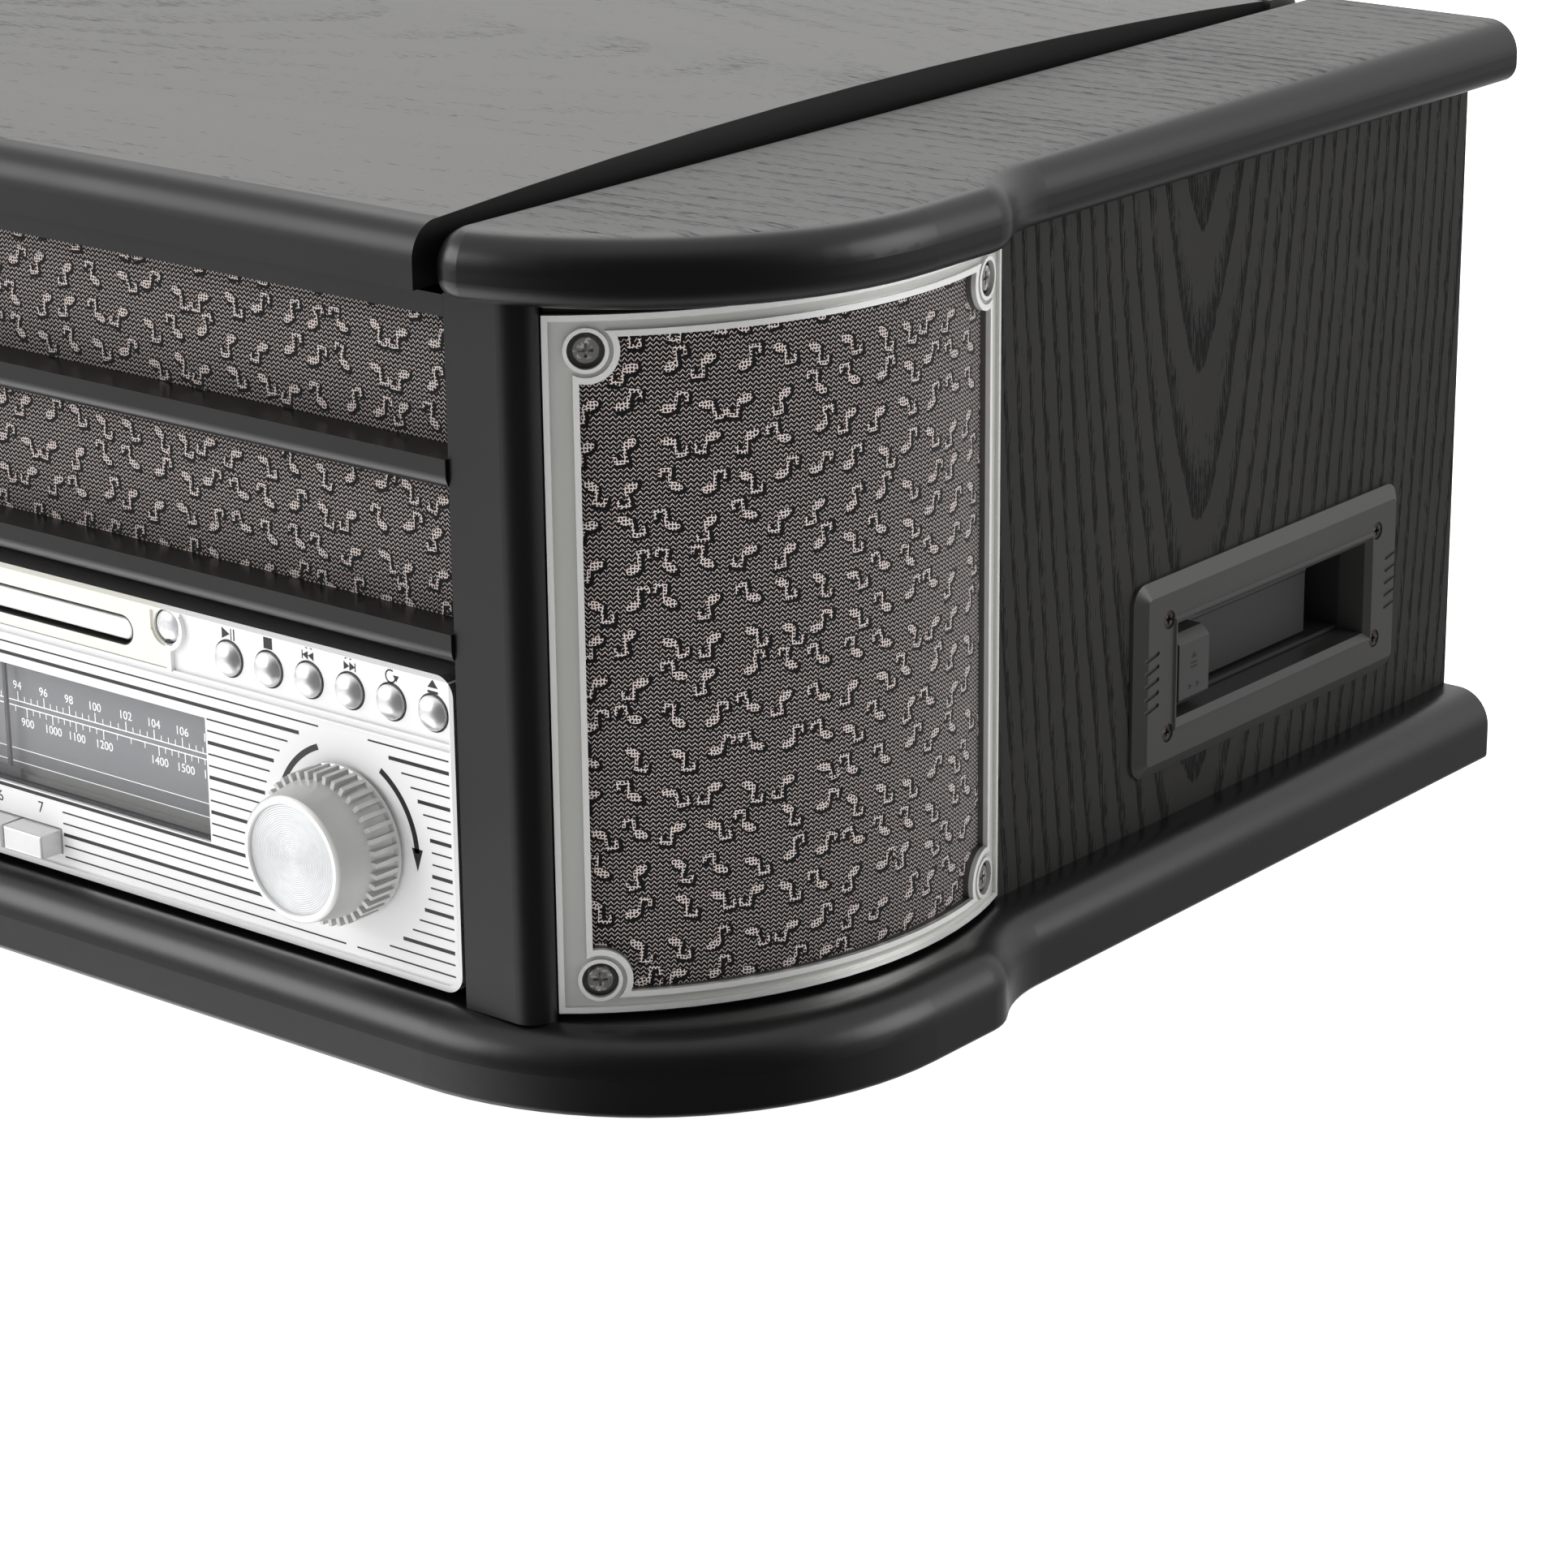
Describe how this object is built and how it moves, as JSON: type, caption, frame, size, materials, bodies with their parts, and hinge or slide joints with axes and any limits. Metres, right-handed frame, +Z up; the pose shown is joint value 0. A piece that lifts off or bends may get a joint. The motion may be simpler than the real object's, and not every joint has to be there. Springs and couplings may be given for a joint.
{
  "type": "stereo music centre",
  "caption": "Bow-fronted wooden stereo music centre: record player under a hinged arched lid, radio dial, CD tray, side cassette slot and curved corner loudspeakers.",
  "frame": {"origin": "on the surface under the feet, at the middle of the whole outline seen from above", "axes": "+X to the right of someone facing the front, -Y out of the front, +Z up"},
  "size_m": [0.509, 0.36, 0.2186],
  "materials": {
    "veneer": "open-pored black-stained veneer",
    "top_veneer": "black-stained veneer, satin lacquer",
    "black_moulding": "satin black lacquer",
    "raw_board": "plain fibreboard",
    "rubber": "moulded rubber",
    "black_plastic": "fine grained",
    "mat": "ribbed rubber",
    "silver_fascia": "satin silver",
    "silver_plastic": "satin silver paint",
    "chrome": "polished",
    "steel": "plain",
    "platter_metal": "turned",
    "brass": "plated",
    "cloth": "knitted loudspeaker cloth",
    "cone_paper": "paper cone",
    "dial_print": "printed dial plate",
    "lens": "smoked clear plastic",
    "pointer_red": "painted",
    "circuit": "circuit laminate"
  },
  "bodies": {
    "cabinet": {"base_board": "veneer", "rubber_feet": "rubber", "side_panel_left": "veneer", "side_panel_right": "veneer", "dividers": "raw_board", "shoulders": "top_veneer", "rear_rail": "top_veneer", "back_panel": "raw_board", "rear_connectors": "brass", "front_frame": "black_moulding", "grille_cloth": "cloth", "speaker_frames": "silver_plastic", "speaker_baffles": "cloth", "speaker_drivers": "cone_paper", "cassette_bezel": "black_plastic", "trim_screws": "steel", "cassette_mechanism": "black_plastic", "fascia": "silver_fascia", "dial_window": "lens", "dial_plate": "dial_print", "cd_drive": "black_plastic", "circuit_board": "circuit", "transformer": "steel", "turntable_deck": "black_plastic", "platter_spindle": "steel", "drive_belt": "rubber", "platter_motor": "steel", "tonearm_base": "black_plastic", "rail_hinge_leaves": "brass"},
    "lid": {"lid_board": "top_veneer", "lid_moulding": "black_moulding", "lid_hinge_leaves": "brass", "lid_stay_rail": "brass"},
    "stay_arm": {"lid_stay_arm": "brass"},
    "turntable": {"platter": "platter_metal", "platter_mat": "mat"},
    "pulley": {"motor_pulley": "brass"},
    "gimbal": {"tonearm_gimbal": "steel"},
    "arm": {"tonearm": "silver_plastic"},
    "cueing": {"cue_lever": "silver_plastic"},
    "speed": {"speed_lever": "silver_plastic"},
    "disc_tray": {"cd_tray": "silver_plastic"},
    "tuning": {"tuning_knob": "silver_plastic"},
    "volume": {"volume_knob": "silver_plastic"},
    "pointer": {"dial_pointer": "pointer_red"},
    "tape_key": {"cassette_key": "black_plastic"},
    "tape_flap": {"cassette_flap": "black_plastic"},
    "play": {"play_button": "chrome"},
    "stop": {"stop_button": "chrome"},
    "back": {"back_button": "chrome"},
    "forward": {"forward_button": "chrome"},
    "repeat": {"repeat_button": "chrome"},
    "eject": {"eject_button": "chrome"},
    "key_1": {"function_key_1": "silver_plastic"},
    "key_2": {"function_key_2": "silver_plastic"},
    "key_3": {"function_key_3": "silver_plastic"},
    "key_4": {"function_key_4": "silver_plastic"},
    "key_5": {"function_key_5": "silver_plastic"},
    "key_6": {"function_key_6": "silver_plastic"},
    "key_7": {"function_key_7": "silver_plastic"}
  },
  "joints": [
    {"name": "lid_hinge", "type": "hinge", "parent": "cabinet", "child": "lid", "pos_m": [0, 0.1608, 0.2156], "axis": [-1, 0, 0], "range_deg": [0, 55]},
    {"name": "lid_stay_pivot", "type": "hinge", "parent": "cabinet", "child": "stay_arm", "pos_m": [0.1644, 0.09446, 0.18062], "axis": [-1, 0, 0], "range_deg": [0, 110.5]},
    {"name": "platter_spin", "type": "hinge", "parent": "cabinet", "child": "turntable", "pos_m": [-0.022, 0.004, 0.1665], "axis": [0, 0, -1], "continuous": true},
    {"name": "pulley_spin", "type": "hinge", "parent": "cabinet", "child": "pulley", "pos_m": [-0.118, 0.004, 0.1665], "axis": [0, 0, -1], "continuous": true},
    {"name": "arm_swing", "type": "hinge", "parent": "cabinet", "child": "gimbal", "pos_m": [0.14, 0.104, 0.174], "axis": [0, 0, -1], "range_deg": [0, 42]},
    {"name": "arm_lift", "type": "hinge", "parent": "gimbal", "child": "arm", "pos_m": [0.14, 0.104, 0.187], "axis": [-1, 0, 0], "range_deg": [0, 2.6]},
    {"name": "cue_lever_turn", "type": "hinge", "parent": "cabinet", "child": "cueing", "pos_m": [0.154, 0.08, 0.17], "axis": [-1, 0, 0], "range_deg": [0, 60]},
    {"name": "speed_lever_turn", "type": "hinge", "parent": "cabinet", "child": "speed", "pos_m": [0.152, -0.113, 0.165], "axis": [0, 0, 1], "range_deg": [-20, 20]},
    {"name": "cd_tray_slide", "type": "slide", "parent": "cabinet", "child": "disc_tray", "axis": [0, -1, 0], "range_m": [0, 0.138]},
    {"name": "tuning_turn", "type": "hinge", "parent": "cabinet", "child": "tuning", "pos_m": [0.1382, -0.161, 0.0613], "axis": [0, 1, 0], "range_deg": [-1050, 1279]},
    {"name": "pointer_slide", "type": "slide", "parent": "cabinet", "child": "pointer", "axis": [1, 0, 0], "range_m": [-0.056, 0.068]},
    {"name": "volume_turn", "type": "hinge", "parent": "cabinet", "child": "volume", "pos_m": [-0.1382, -0.161, 0.0613], "axis": [0, 1, 0], "range_deg": [0, 300]},
    {"name": "play_press", "type": "slide", "parent": "cabinet", "child": "play", "axis": [0, 1, 0], "range_m": [0, 0.0012], "stiffness_N_per_m": 800, "springref_m": -0.001},
    {"name": "stop_press", "type": "slide", "parent": "cabinet", "child": "stop", "axis": [0, 1, 0], "range_m": [0, 0.0012], "stiffness_N_per_m": 800, "springref_m": -0.001},
    {"name": "back_press", "type": "slide", "parent": "cabinet", "child": "back", "axis": [0, 1, 0], "range_m": [0, 0.0012], "stiffness_N_per_m": 800, "springref_m": -0.001},
    {"name": "forward_press", "type": "slide", "parent": "cabinet", "child": "forward", "axis": [0, 1, 0], "range_m": [0, 0.0012], "stiffness_N_per_m": 800, "springref_m": -0.001},
    {"name": "repeat_press", "type": "slide", "parent": "cabinet", "child": "repeat", "axis": [0, 1, 0], "range_m": [0, 0.0012], "stiffness_N_per_m": 800, "springref_m": -0.001},
    {"name": "eject_press", "type": "slide", "parent": "cabinet", "child": "eject", "axis": [0, 1, 0], "range_m": [0, 0.0012], "stiffness_N_per_m": 800, "springref_m": -0.001},
    {"name": "key_1_press", "type": "slide", "parent": "cabinet", "child": "key_1", "axis": [0, 1, 0], "range_m": [0, 0.0035], "stiffness_N_per_m": 400, "springref_m": -0.002},
    {"name": "key_2_press", "type": "slide", "parent": "cabinet", "child": "key_2", "axis": [0, 1, 0], "range_m": [0, 0.0035], "stiffness_N_per_m": 400, "springref_m": -0.002},
    {"name": "key_3_press", "type": "slide", "parent": "cabinet", "child": "key_3", "axis": [0, 1, 0], "range_m": [0, 0.0035], "stiffness_N_per_m": 400, "springref_m": -0.002},
    {"name": "key_4_press", "type": "slide", "parent": "cabinet", "child": "key_4", "axis": [0, 1, 0], "range_m": [0, 0.0035], "stiffness_N_per_m": 400, "springref_m": -0.002},
    {"name": "key_5_press", "type": "slide", "parent": "cabinet", "child": "key_5", "axis": [0, 1, 0], "range_m": [0, 0.0035], "stiffness_N_per_m": 400, "springref_m": -0.002},
    {"name": "key_6_press", "type": "slide", "parent": "cabinet", "child": "key_6", "axis": [0, 1, 0], "range_m": [0, 0.0035], "stiffness_N_per_m": 400, "springref_m": -0.002},
    {"name": "key_7_press", "type": "slide", "parent": "cabinet", "child": "key_7", "axis": [0, 1, 0], "range_m": [0, 0.0035], "stiffness_N_per_m": 400, "springref_m": -0.002},
    {"name": "tape_key_press", "type": "slide", "parent": "cabinet", "child": "tape_key", "axis": [-1, 0, 0], "range_m": [0, 0.004], "stiffness_N_per_m": 500, "springref_m": -0.002},
    {"name": "tape_flap_swing", "type": "hinge", "parent": "cabinet", "child": "tape_flap", "pos_m": [0.22282, 0.0853, 0.075], "axis": [0, 1, 0], "range_deg": [0, 80], "stiffness_Nm_per_rad": 0.002, "springref_deg": -5.73}
  ],
  "couplings": [
    {"joint": "lid_stay_pivot", "follows": "lid_hinge", "ratio": 2},
    {"joint": "pulley_spin", "follows": "platter_spin", "ratio": 16},
    {"joint": "pointer_slide", "follows": "tuning_turn", "m_per_rad": 0.003},
    {"joint": "arm_lift", "follows": "cue_lever_turn", "ratio": 0.041667}
  ]
}
